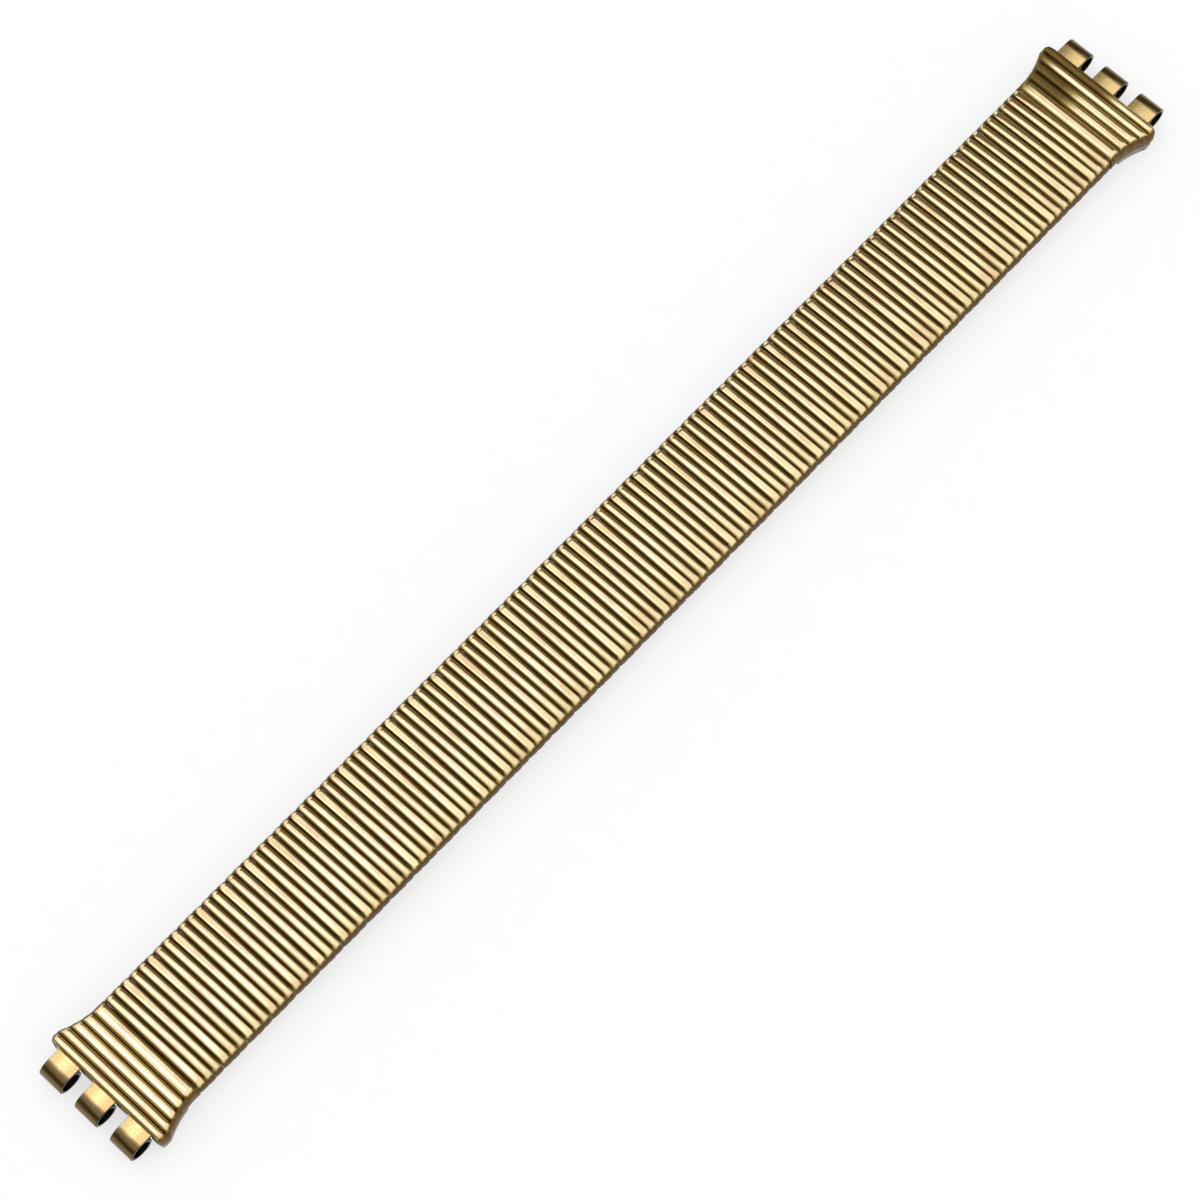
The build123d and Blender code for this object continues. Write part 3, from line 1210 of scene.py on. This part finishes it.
@dataclass
class LugFrame:
    """Folded brass sheet with three tongues, each rolled round a bore for the spring bar."""

    sizes: BandSizes
    wall: float = 0.25 * MM
    bore_r: float = 0.85 * MM
    lug_x: float = 59.38 * MM
    lug_z: float = 1.15 * MM
    width: float = 2.3 * MM
    back_x: float = 55.95 * MM
    plate_front_x: float = 57.65 * MM
    foot_z: float = 0.22 * MM
    overlap: float = 0.2 * MM
    seam_degrees: float = 128  # where the rolled tip ends, from the band's direction
    tongue_steps: int = 18
    roll_steps: int = 30
    lug_bevel: float = 0.045 * MM
    fold_r: float = 0.15 * MM
    # painted shade on the lugs' sides, in their bores and under them, and a painted dark reflection
    # on the rolled tips
    side_wear: float = 0.02 * MM
    bore_wear: float = 0.05 * MM
    tip_brown: float = 0.55
    tip_start: float = 0.16 * MM
    tip_reach: float = 0.2 * MM
    under_reach: float = 0.9 * MM

    @property
    def top(self) -> float:
        """Height of the sheet's outer face over the lugs."""
        return self.lug_z + self.bore_r + self.wall

    def lug(self, y: float) -> Piece:
        """Rolls one lug.

        Args:
            y: Its place across the band.

        Returns:
            The lug with its tongue.
        """
        low = Vector((self.plate_front_x - self.overlap, y - self.width / 2, self.top))
        high = Vector((self.lug_x, y + self.width / 2, self.top))
        piece = add_between("lug", low, high, (self.tongue_steps, 1))
        with editing(piece):
            pick(piece, Part.EDGES, lambda p: near(p.x, self.lug_x))
            turn = self.seam_degrees - 90 - 360
            spin(self.roll_steps, turn, Vector((self.lug_x, 0, self.lug_z)), Y_AXIS)
        settle(piece, Vector((self.lug_x, y, self.lug_z)))
        apply(piece, "SOLIDIFY", thickness=self.wall, offset=-1.0)
        limit = {"limit_method": "ANGLE", "angle_limit": math.radians(60)}
        apply(piece, "BEVEL", width=self.lug_bevel, segments=2, **limit)
        return piece

    def build(self) -> Piece:
        """Models the right frame in place.

        Returns:
            The finished frame.
        """
        half_y = self.sizes.lug_y[-1] + self.width / 2
        low = Vector((self.back_x, -half_y, self.foot_z))
        plate = add_between("lug_frame", low, Vector((self.plate_front_x, half_y, self.top)))
        with editing(plate):
            cut_faces(plate, lambda p: near(p.z, self.foot_z))
            for x in (self.back_x, self.plate_front_x):
                cut_faces(plate, lambda p: near(p.x, x))
            pick(plate, Part.EDGES, lambda p: near(p.z, self.top), is_fold)
            bpy.ops.mesh.bevel(offset=self.fold_r, segments=3, affect="EDGES")
        settle(plate, Vector(((self.back_x + self.plate_front_x) / 2, 0, self.foot_z)))
        apply(plate, "SOLIDIFY", thickness=self.wall, offset=-1.0)
        piece = join(plate, *[self.lug(y) for y in self.sizes.lug_y])
        mark(piece, self.worn)
        smooth(piece, 40)
        return piece

    def worn(self, p: Vector) -> float:
        """Mask of painted shade: brown on the rolled tips, a painted dark reflection, and under the
        bores, near black on the lugs' sides and in their bores.

        Args:
            p: A point of the frame.

        Returns:
            The wear, from 0 to 1.
        """
        from_side = min(abs(abs(p.y - y) - self.width / 2) for y in self.sizes.lug_y)
        from_bore = abs(math.hypot(p.x - self.lug_x, p.z - self.lug_z) - self.bore_r)
        on_lug = p.x > self.plate_front_x + 0.1 * MM
        if on_lug and (from_side < self.side_wear or from_bore < self.bore_wear):
            return 1.0
        reach = clamp((p.x - self.lug_x + self.tip_start) / self.tip_reach)
        under = clamp((self.lug_z - p.z) / self.under_reach)
        return self.tip_brown * max(reach, under)


@dataclass(frozen=True)
class Pattern:
    """A piece that is modelled once, with its finish and its material slot."""

    shape: Piece
    look: bpy.types.Material
    slot: Slot

    def moved(self, name: str, move: Matrix) -> "Pattern":
        """The same pattern somewhere else."""
        return Pattern(copy_to(self.shape, name, move), self.look, self.slot)


@dataclass
class Band:
    """The whole band: every piece in place, dressed, and riding on its body."""

    sizes: BandSizes
    leaf_gap: float = 0.02 * MM
    blend_in: float = 0.15 * MM  # how far from a leg's middle a staple starts to bend
    count: int = 0
    patterns: dict[str, Pattern] = field(default_factory=dict)

    def __post_init__(self) -> None:
        """Models each repeated piece once and makes the finishes."""
        s, plan, gold = self.sizes, EndPlan(self.sizes), PolishedGoldPlate()
        # the tray's steel is darker than the sleeves': partly tarnish, partly painted shade for
        # where it lies under the cover
        tray = SatinSteel("93877A", "6A5E50", (0.08 * MM, 0.08 * MM, 0.9 * MM))
        leaf = SatinSteel("B9B29F", "7D7565", (0.05 * MM, 2.4 * MM, 0.05 * MM), 0.25)
        # the wire is far darker than the sleeves' steel: partly tarnish, partly painted shade where
        # it lies between the shells
        wire = SatinSteel("665F53", "3F392F", (0.05 * MM, 0.7 * MM, 0.05 * MM), 0.22)
        shell_gold, cover_gold = gold.material(), gold.material("polished_gold_plate_cover")
        brass, strip = WornBrassSheet().material(), SatinSteel().material("satin_steel_strip")
        tray_steel, drawn = tray.material("satin_steel_tray"), wire.material("drawn_steel_wire")
        staple = WireStaple(s)
        sleeve = Pattern(FlatSleeve(s).build(), strip, Slot.STEEL)
        leaf_steel = leaf.material("tempered_spring_steel")
        spring = Pattern(LeafSpring().build(), leaf_steel, Slot.STEEL)
        high_z = s.upper_z + s.sleeve_wall + self.leaf_gap
        low_z = s.sleeve_height - s.sleeve_wall - self.leaf_gap
        turned_over = Matrix.Translation((0, 0, low_z)) @ Matrix.Rotation(math.pi, 4, "X")
        self.patterns = {
            "shell": Pattern(RidgedShell(s).build(), shell_gold, Slot.SHELL),
            "lower_sleeve": sleeve,
            "upper_sleeve": sleeve.moved("upper", Matrix.Translation((0, 0, s.upper_z))),
            "leaf": spring,
            "upper_leaf": spring.moved("high_leaf", Matrix.Translation((0, 0, high_z))),
            "lower_leaf": spring.moved("low_leaf", turned_over),
            "near_staple": Pattern(staple.build(-1), drawn, Slot.WIRE),
            "far_staple": Pattern(staple.build(1), drawn, Slot.WIRE),
            "cover": Pattern(EndCover(plan).build(), cover_gold, Slot.SHELL),
            "tray": Pattern(EndTray(plan).build(), tray_steel, Slot.STEEL),
            "lugs": Pattern(LugFrame(s).build(), brass, Slot.LUG),
        }

    def place(
        self, kind: str, name: str, x: float, node: str, body: str = "", turned: bool = False
    ) -> Piece:
        """Copies a pattern into place, dresses it and lets it ride.

        Args:
            kind: Which pattern to copy.
            name: The new piece's name.
            x: Its place along the band.
            node: The CAD node that it stands for.
            body: The body that it rides on; none yet for a staple that tilts.
            turned: Whether it is turned half round.

        Returns:
            The piece.
        """
        pattern = self.patterns[kind]
        turn = Matrix.Rotation(math.pi, 4, "Z") if turned else Matrix.Identity(4)
        piece = copy_to(pattern.shape, name, Matrix.Translation((x, 0, 0)) @ turn)
        piece.data.materials.clear()
        piece.data.materials.append(pattern.look)
        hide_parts(node)
        if body:
            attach(piece, body)
        self.count += 1
        LOG.info("%s stands for %s", name, node)
        return piece

    def sleeve(self, row: str, label: str, x: float, node: str, body: str) -> None:
        """Places a sleeve of the upper or lower row, with its leaf spring."""
        for kind in (f"{row}_sleeve", f"{row}_leaf"):
            self.place(kind, f"{kind}_{label}", x, node, body)

    def staples(self, name: str, x: float, node: str, low: str, high: str) -> None:
        """Places the staple pair that joins a lower sleeve to an upper one.

        Args:
            name: Start of the two names.
            x: Place along the band.
            node: The CAD node that holds them.
            low: The body of the lower sleeve.
            high: The body of the upper sleeve.
        """
        s = self.sizes
        for edge, y in (("near", -s.bar_y), ("far", s.bar_y)):
            rides = low if low == high else ""
            piece = self.place(f"{edge}_staple", f"{name}_{edge}", x, node, rides)
            if not rides:
                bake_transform(piece)

    def links(self) -> None:
        """Places every link of the band."""
        s = self.sizes
        for number in range(1, s.shell_count + 1):
            side = (number > s.middle) - (number < s.middle)
            step = abs(number - s.middle)
            label, x = f"{number:02d}", s.link_x(number)
            node = f"link_{label}"
            self.place("shell", f"top_shell_{label}", x, node, node)
            self.sleeve("upper", label, x, node, node)
            sides = (-1, 1) if not side else () if step in s.curl_steps else (side,)
            for way in sides:
                lower = label + ("" if side else Half(way).name[0].lower())
                self.sleeve("lower", lower, x + way * s.pitch / 2, node, node)
                self.staples(f"staple_{lower}_a", x + way * s.pitch / 4, node, node, node)

    def joints(self) -> None:
        """Places the lower sleeves at the curl steps and the staples that tilt."""
        s = self.sizes
        for half in Half:
            side, word = half.value, half.name.lower()
            group = f"tilting_staples_{word}"
            for step in range(s.middle):
                number = s.middle + side * step
                node = low = f"link_{number:02d}"
                outer = f"link_{number + side:02d}" if step < s.middle - 1 else f"end_{word}"
                lower_x = s.link_x(number) + side * s.pitch / 2
                label = f"{number:02d}" + ("" if step else word[0])
                if step in s.curl_steps:
                    low, inner_x = f"lower_link_{number:02d}", lower_x - side * s.pitch / 4
                    self.sleeve("lower", label, lower_x, low, low)
                    self.staples(f"staple_{label}_a", inner_x, group, low, node)
                outer_x = lower_x + side * s.pitch / 4
                self.staples(f"staple_{label}_b", outer_x, group, low, outer)

    def ends(self) -> None:
        """Places the covers, trays and lugs."""
        s = self.sizes
        names = {"cover": "flared_cover", "tray": "steel_tray", "lugs": "rolled_lugs"}
        for half in Half:
            word, turned = half.name.lower(), half is Half.LEFT
            body = f"end_{word}"
            for kind, name in names.items():
                piece = self.place(kind, f"{name}_{word}", 0, f"end_{kind}_{word}", body, turned)
                if kind == "cover" and half is Half.RIGHT:
                    # a painted dark reflection over the right cover's far half
                    mark(piece, EndCover(EndPlan(s)).dulled)
            x = half.value * s.middle * s.pitch
            self.sleeve("upper", f"end_{word}", x, f"end_tray_{word}", body)

    def assemble(self) -> None:
        """Places every piece and removes the patterns."""
        self.links()
        self.joints()
        self.ends()
        for pattern in self.patterns.values():
            bpy.data.objects.remove(pattern.shape)


# ---------------------------------------------------------------- studio


@dataclass(frozen=True)
class Card:
    """A curved matt card beside the set, which only the metal sees.

    Its sides are in degrees from +X towards +Y, its edges in degrees over the floor.
    """

    name: str
    colour: str
    turns: tuple[float, float]
    rises: tuple[float, float]
    reach: float = 0.6
    step: float = 6.0

    def build(self) -> None:
        """Stands the card in the studio."""
        low, high = (self.reach * math.tan(math.radians(rise)) for rise in self.rises)
        start = math.radians(self.turns[0])
        steps = max(2, int((self.turns[1] - self.turns[0]) / self.step))
        only()
        bpy.ops.mesh.primitive_plane_add(size=1)
        piece = bpy.context.object
        piece.name = self.name
        foot = (self.reach * math.cos(start), self.reach * math.sin(start), low)
        with editing(piece, Part.POINTS):
            bpy.ops.mesh.merge(type="CENTER")
            bpy.ops.transform.translate(value=foot)
            extrude(Vector((0, 0, high - low)))
            bpy.ops.mesh.select_all(action="SELECT")
            spin(steps, self.turns[0] - self.turns[1], Vector((0, 0, 0)), Z_AXIS)
        material = start_material(
            f"{self.name}_paint", 0.9, Base_Color=linear(self.colour), Specular_IOR_Level=0.0
        )
        piece.data.materials.append(material)
        piece.visible_camera = piece.visible_diffuse = piece.visible_shadow = False


@dataclass
class Studio:
    """Plain pale floor, one soft lamp, dark side cards for the metal, and the camera."""

    lens: float = 115.53
    eye: Vector = field(default_factory=lambda: Vector((-83.55, -75.93, 286.12)) * MM)
    right: Vector = field(default_factory=lambda: Vector((0.67977, -0.73341, -0.00401)))
    up: Vector = field(default_factory=lambda: Vector((0.68494, 0.63288, 0.36099)))
    white: str = "FFFFFF"
    paper_shade: str = "FCFCFB"
    paper_grain: float = 2 * MM
    floor_size: float = 3.0
    floor_z: float = -0.02 * MM
    sink: float = 62 * MM
    lit_through: float = 0.65
    sky: float = 1.0
    lamp_place: Vector = field(default_factory=lambda: Vector((-0.07, 0.22, 0.80)))
    lamp_size: float = 0.16
    lamp_watts: float = 0.17
    cards: tuple[Card, ...] = (
        Card("right_skirting_card", "A08C70", (-15, 50), (-1, 10)),
        Card("right_low_card", "7A6F5A", (-15, 50), (10, 41)),
        Card("left_skirting_card", "A08C70", (135, 200), (-1, 10)),
        Card("left_low_card", "7A6F5A", (135, 200), (10, 41)),
        Card("tall_card", "6A604E", (8, 62), (39, 54), 0.55),
    )

    def floor(self) -> None:
        """Lays the floor, a sheet of matt white paper with a faint grain."""
        corner = Vector((self.floor_size, self.floor_size, 0))
        level = Vector((0, 0, self.floor_z))
        piece = add_between("studio_floor", level - corner, level + corner, (4, 4))
        material = start_material("matt_white_paper", 0.9, Specular_IOR_Level=0.1)
        tree = material.node_tree
        shader = tree.nodes["Principled BSDF"]
        grain = grains(tree, (self.paper_grain,) * 3)
        colour = tint(tree, self.white, self.paper_shade, grain, (0.3, 0.7))
        tree.links.new(colour, shader.inputs["Base Color"])
        # the paper is lit from behind as well, so that the shadow on it stays pale
        path = add_node(tree, "LightPath")
        seen = path["Is Camera Ray"]
        for ray in ("Is Glossy Ray", "Is Transmission Ray"):
            inputs = {0: seen, 1: path[ray]}
            seen = add_node(tree, "Math", inputs, operation="MAXIMUM", use_clamp=True)[0]
        inputs = {0: seen, 1: self.lit_through}
        share = add_node(tree, "Math", inputs, operation="MULTIPLY", use_clamp=True)[0]
        glow = add_node(tree, "Emission", {"Color": linear(self.white), "Strength": 1.0})[0]
        paper = add_node(tree, "MixShader", {0: share, 1: shader.outputs[0], 2: glow})[0]
        tree.links.new(paper, tree.nodes["Material Output"].inputs["Surface"])
        piece.data.materials.append(material)
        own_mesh(piece)

    def lamp(self) -> None:
        """Hangs one square soft light that looks at the band."""
        data = bpy.data.lights.new("overhead_softbox", "AREA")
        data.size, data.energy, data.color = self.lamp_size, self.lamp_watts, (1, 1, 1)
        lamp = bpy.data.objects.new("overhead_softbox", data)
        lamp.location = self.lamp_place
        lamp.rotation_euler = (-self.lamp_place).to_track_quat("-Z", "Y").to_euler()
        bpy.context.scene.collection.objects.link(lamp)

    def world(self) -> None:
        """Surrounds the set with plain pale light."""
        world = bpy.data.worlds.new("pale_studio")
        bpy.context.scene.world = world
        world.use_nodes = True
        back = world.node_tree.nodes["Background"]
        back.inputs["Color"].default_value = linear(self.white)
        back.inputs["Strength"].default_value = self.sky

    def camera(self) -> None:
        """Sets the camera where the photograph was taken from."""
        data = bpy.data.cameras.new("photo_camera")
        data.lens, data.sensor_width = self.lens, 36.0
        data.clip_start, data.clip_end = 0.01, 20.0
        camera = bpy.data.objects.new("photo_camera", data)
        back = self.right.cross(self.up).normalized()
        turn = Matrix((self.right, self.up, back)).transposed().to_4x4()
        camera.matrix_world = Matrix.Translation(self.eye) @ turn
        bpy.context.scene.collection.objects.link(camera)
        bpy.context.scene.camera = camera

    def build(self) -> None:
        """Sets up the whole studio."""
        bpy.context.scene.view_settings.view_transform = "Standard"
        self.floor()
        for card in self.cards:
            card.build()
        self.world()
        self.camera()
        self.lamp()


def main() -> None:
    """Builds the band and its studio."""
    logging.basicConfig(level=logging.INFO, format="%(name)s: %(message)s")
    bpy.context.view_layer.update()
    band = Band(BandSizes())
    band.assemble()
    Studio().build()
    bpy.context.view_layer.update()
    LOG.info("%d pieces in place", band.count)


if __name__ == "__main__":
    main()
